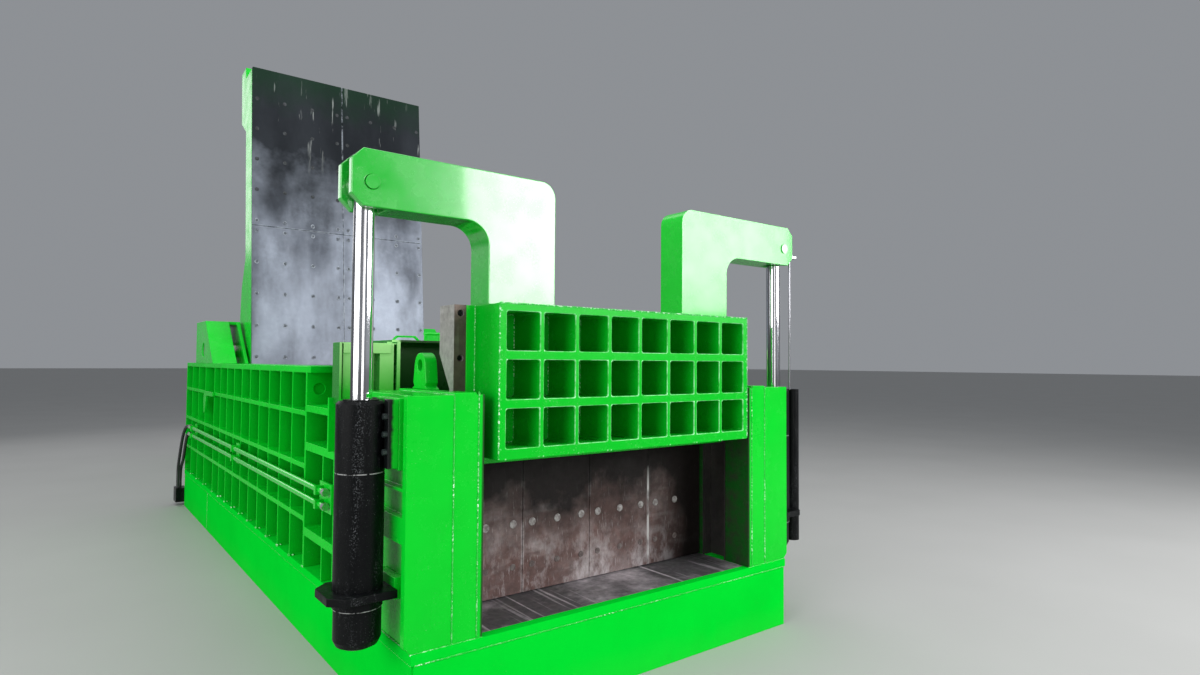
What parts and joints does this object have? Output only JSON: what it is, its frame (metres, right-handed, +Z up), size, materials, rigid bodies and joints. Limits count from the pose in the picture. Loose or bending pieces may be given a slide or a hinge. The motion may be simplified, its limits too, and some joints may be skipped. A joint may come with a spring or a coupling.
{
  "type": "scrap baler",
  "caption": "Hydraulic scrap baler: ribbed press channel with a lifting front gate on gantry arms, a ram behind it and a tall hinged press lid.",
  "frame": {"origin": "on the floor at mid-width, under the front face of the two gate columns", "axes": "+X to the right seen from the front, +Y from the front to the rear along the press channel, +Z up"},
  "size_m": [3.072, 11.104, 4.6469],
  "materials": {
    "green_paint": "fresh gloss paint",
    "dark_green_paint": "gloss paint in shade, thin overspray",
    "black_paint": "gloss black paint with dust",
    "wear_plate": "dark mill scale, scuffed",
    "raw_steel": "raw brown steel, scratched",
    "machined_steel": "machined",
    "chrome_rod": "polished",
    "hose_rubber": "smooth rubber"
  },
  "bodies": {
    "frame": {"base_frame": "green_paint", "floor_plate": "wear_plate", "left_wall": "green_paint", "right_wall": "green_paint", "wall_liners": "wear_plate", "left_front_bay": "green_paint", "right_front_bay": "green_paint", "left_column": "green_paint", "right_column": "green_paint", "slot_liners": "raw_steel", "channel_cover": "dark_green_paint", "cover_portal": "green_paint", "cover_handles": "green_paint", "lifting_lugs": "green_paint", "left_pedestal": "green_paint", "right_pedestal": "green_paint", "lid_hinge_pins": "machined_steel", "crosshead": "dark_green_paint", "main_barrel": "dark_green_paint", "main_gland": "machined_steel", "main_flange_bolts": "black_paint", "cylinder_stand": "dark_green_paint", "lift_barrel_left": "black_paint", "lift_barrel_right": "black_paint", "lift_glands": "black_paint", "lift_flanges": "black_paint", "lift_pads": "black_paint", "pad_bolts": "green_paint", "lift_brackets": "green_paint", "pipe_upper": "green_paint", "pipe_lower": "green_paint", "pipe_brackets": "green_paint", "pipe_fittings": "machined_steel", "hose_upper": "hose_rubber", "hose_lower": "hose_rubber", "hose_block": "black_paint", "hook_plate": "green_paint", "guide_tube": "black_paint", "lid_anchors": "dark_green_paint", "anchor_pins": "machined_steel"},
    "gate": {"gate_grid": "green_paint", "gate_slab": "green_paint", "gate_guides": "raw_steel", "arm_left": "green_paint", "arm_right": "green_paint", "arm_pins": "green_paint", "lift_rods": "chrome_rod", "thin_rod": "chrome_rod"},
    "ram": {"ram_body": "raw_steel", "ram_face": "raw_steel", "main_rod": "chrome_rod", "rod_ends": "raw_steel"},
    "lid": {"lid_frame": "green_paint", "lid_liner": "wear_plate", "lid_horns": "dark_green_paint", "horn_pins": "machined_steel"},
    "lid_cylinder_left": {"lid_barrel_left": "black_paint"},
    "lid_cylinder_right": {"lid_barrel_right": "black_paint"},
    "lid_piston_left": {"lid_rod_left": "chrome_rod"},
    "lid_piston_right": {"lid_rod_right": "chrome_rod"}
  },
  "joints": [
    {"name": "gate_lift", "type": "slide", "parent": "frame", "child": "gate", "axis": [0, 0, 1], "range_m": [-0.715, 0]},
    {"name": "ram_press", "type": "slide", "parent": "frame", "child": "ram", "axis": [0, 1, 0], "range_m": [0, 4.4]},
    {"name": "lid_hinge", "type": "hinge", "parent": "frame", "child": "lid", "pos_m": [0, 5.183, 1.7], "axis": [1, 0, 0], "range_deg": [0, 95.17]},
    {"name": "lid_cylinder_left_pivot", "type": "hinge", "parent": "frame", "child": "lid_cylinder_left", "pos_m": [-0.55, 6.48, 1.7], "axis": [1, 0, 0], "range_deg": [0, 7.78]},
    {"name": "lid_piston_left_slide", "type": "slide", "parent": "lid_cylinder_left", "child": "lid_piston_left", "axis": [0, -0.9638, 0.2665], "range_m": [0, 0.5317]},
    {"name": "lid_cylinder_right_pivot", "type": "hinge", "parent": "frame", "child": "lid_cylinder_right", "pos_m": [0.55, 6.48, 1.7], "axis": [1, 0, 0], "range_deg": [0, 7.78]},
    {"name": "lid_piston_right_slide", "type": "slide", "parent": "lid_cylinder_right", "child": "lid_piston_right", "axis": [0, -0.9638, 0.2665], "range_m": [0, 0.5317]}
  ],
  "couplings": [
    {"joint": "lid_cylinder_left_pivot", "follows": "lid_hinge", "ratio": 0.081689},
    {"joint": "lid_piston_left_slide", "follows": "lid_hinge", "m_per_rad": 0.31983},
    {"joint": "lid_cylinder_right_pivot", "follows": "lid_hinge", "ratio": 0.081689},
    {"joint": "lid_piston_right_slide", "follows": "lid_hinge", "m_per_rad": 0.31983}
  ]
}
